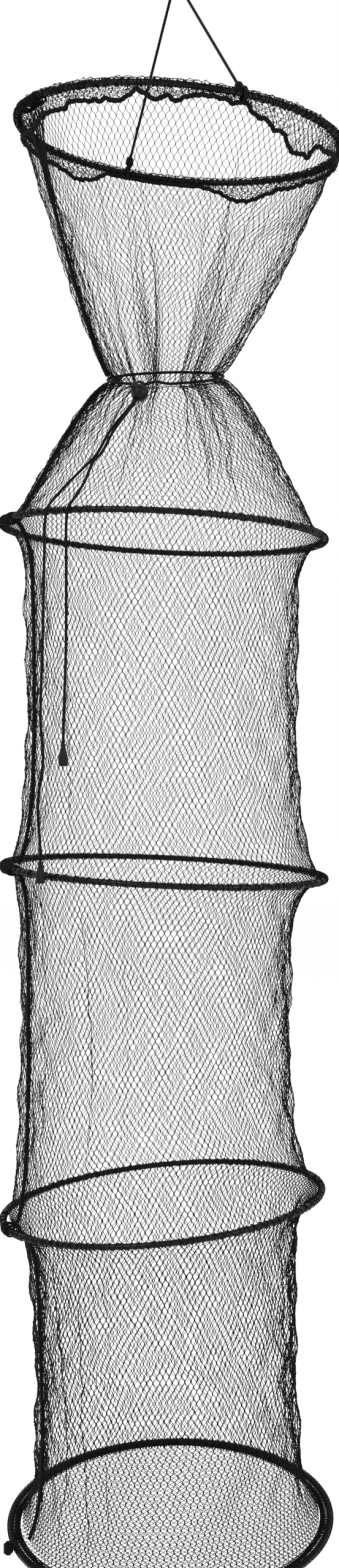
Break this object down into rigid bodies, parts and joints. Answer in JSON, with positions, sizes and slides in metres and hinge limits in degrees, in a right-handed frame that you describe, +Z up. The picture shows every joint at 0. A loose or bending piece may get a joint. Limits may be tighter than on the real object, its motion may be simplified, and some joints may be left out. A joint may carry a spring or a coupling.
{
  "type": "keep net",
  "caption": "Collapsible black keep net: netting tube on round hoops, drawn in at a corded neck, hung from a two-leg cord bridle, closed by a net floor.",
  "frame": {"origin": "top of the hanging loop, from which the net hangs", "axes": "+Z up along the hanging net, +X to its right and -Y to its front as pictured"},
  "size_m": [0.4198, 0.402, 1.9568],
  "materials": {
    "hoop_tube": "black plastic tube, satin",
    "netting": "black knotless nylon netting",
    "cord": "black braided cord",
    "lock_plastic": "black moulded plastic",
    "spring_steel": "bright wire"
  },
  "bodies": {
    "bridle": {"hanging_loop": "cord", "bridle_apex_knot": "cord", "bridle_leg_back": "cord", "bridle_leg_front": "cord", "bridle_knot_back": "cord", "bridle_knot_front": "cord", "bridle_hitch_back": "cord", "bridle_hitch_front": "cord"},
    "mouth": {"mouth_hoop": "hoop_tube", "mouth_hoop_plug": "lock_plastic", "net_cuff": "netting", "selvedge_rope": "cord", "net_mouth": "netting", "side_lacing_mouth": "cord"},
    "neck": {"drawcord": "cord", "net_neck": "netting", "side_lacing_neck": "cord", "tail_short_upper": "cord", "tail_long_upper": "cord"},
    "cord_lock": {"cord_lock_ball": "lock_plastic", "cord_lock_spring": "spring_steel"},
    "lock_button": {"cord_lock_plunger": "lock_plastic"},
    "ring_2": {"ring_2_hoop": "hoop_tube", "ring_2_hoop_plug": "lock_plastic", "net_bay_2": "netting", "side_lacing_bay_2": "cord"},
    "tail_short": {"tail_short_hanging": "cord", "cord_end_short": "lock_plastic"},
    "tail_long": {"tail_long_hanging": "cord", "cord_end_long": "lock_plastic"},
    "ring_3": {"ring_3_hoop": "hoop_tube", "ring_3_hoop_plug": "lock_plastic", "net_bay_3": "netting", "side_lacing_bay_3": "cord"},
    "ring_4": {"ring_4_hoop": "hoop_tube", "ring_4_hoop_plug": "lock_plastic", "net_bay_4": "netting", "side_lacing_bay_4": "cord"},
    "bottom_ring": {"bottom_hoop": "hoop_tube", "bottom_hoop_plug": "lock_plastic", "bottom_rope": "cord", "net_bottom_fold": "netting", "bottom_net": "netting", "seam_knot": "cord"}
  },
  "joints": [
    {"name": "mouth_swing", "type": "hinge", "parent": "bridle", "child": "mouth", "pos_m": [0.0055, 0.00032, -0.24885], "axis": [0.3547, -0.9294, -0.1022], "range_deg": [-12, 12]},
    {"name": "neck_lift", "type": "slide", "parent": "mouth", "child": "neck", "axis": [0, 0, 1], "range_m": [0, 0.23], "deforming": ["net_mouth", "side_lacing_mouth"]},
    {"name": "lock_slide", "type": "slide", "parent": "neck", "child": "cord_lock", "axis": [-0.413, -0.408, -0.8142], "range_m": [0, 0.03]},
    {"name": "button_press", "type": "slide", "parent": "cord_lock", "child": "lock_button", "axis": [0.6003, 0.5503, -0.5803], "range_m": [0, 0.0025], "stiffness_N_per_m": 600, "springref_m": -0.002, "deforming": ["cord_lock_spring"]},
    {"name": "ring_2_lift", "type": "slide", "parent": "neck", "child": "ring_2", "axis": [0, 0, 1], "range_m": [0, 0.16], "deforming": ["net_neck", "side_lacing_neck", "tail_short_upper", "tail_long_upper"]},
    {"name": "short_tail_swing", "type": "hinge", "parent": "ring_2", "child": "tail_short", "pos_m": [-0.12051, -0.17104, -0.72363], "axis": [-0.8496, 0.5274, 0], "range_deg": [0, 40]},
    {"name": "long_tail_swing", "type": "hinge", "parent": "ring_2", "child": "tail_long", "pos_m": [-0.14508, -0.1546, -0.72256], "axis": [-0.7636, 0.6457, 0], "range_deg": [0, 40]},
    {"name": "ring_3_lift", "type": "slide", "parent": "ring_2", "child": "ring_3", "axis": [0, 0, 1], "range_m": [0, 0.38], "deforming": ["net_bay_2", "side_lacing_bay_2"]},
    {"name": "ring_4_lift", "type": "slide", "parent": "ring_3", "child": "ring_4", "axis": [0, 0, 1], "range_m": [0, 0.36], "deforming": ["net_bay_3", "side_lacing_bay_3"]},
    {"name": "bottom_lift", "type": "slide", "parent": "ring_4", "child": "bottom_ring", "axis": [0, 0, 1], "range_m": [0, 0.345], "deforming": ["net_bay_4", "side_lacing_bay_4"]}
  ]
}
